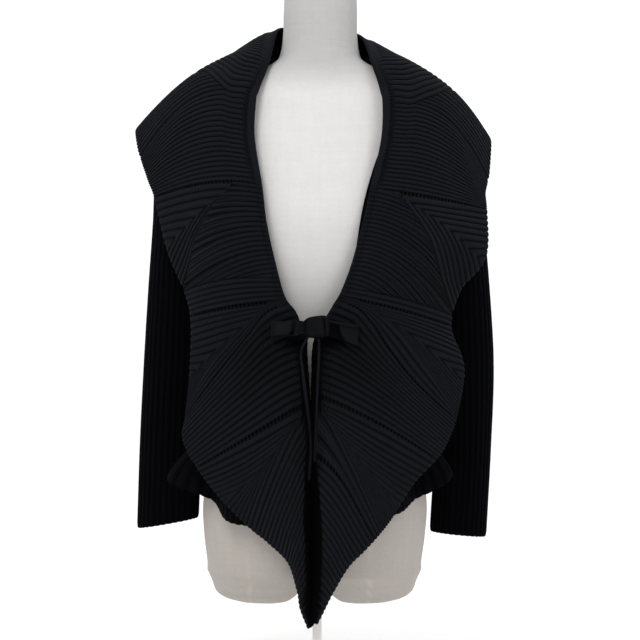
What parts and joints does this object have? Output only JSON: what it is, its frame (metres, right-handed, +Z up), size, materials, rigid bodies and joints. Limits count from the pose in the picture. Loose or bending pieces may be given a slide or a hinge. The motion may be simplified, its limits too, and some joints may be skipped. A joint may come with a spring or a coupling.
{
  "type": "cardigan on dress form",
  "caption": "Ribbed knit cardigan with a wide shawl collar ending in pointed tails, tied in a bow at the waist, on a limbless dress form with a round stand.",
  "frame": {"origin": "centre of the stand base's underside, on the surface that it stands on", "axes": "+Z up, the wearer faces -Y, +X towards the wearer's left"},
  "size_m": [0.5421, 0.3104, 1.036],
  "materials": {
    "knit": "matte ribbed knit",
    "band": "smooth fine knit",
    "tape": "soft flat tape",
    "linen": "plain linen weave",
    "stand": "satin"
  },
  "bodies": {
    "root": {"back": "knit", "front_right": "knit", "front_left": "knit", "sleeve_right": "knit", "sleeve_left": "knit", "collar_right": "knit", "collar_left": "knit", "neck_band_right": "band", "neck_band_left": "band", "bow_knot": "tape", "bow_loop_right": "tape", "bow_loop_left": "tape", "tie_end_right": "tape", "tie_end_left": "tape", "dress_form": "linen", "stand_pole": "stand", "stand_base": "stand"}
  },
  "joints": []
}
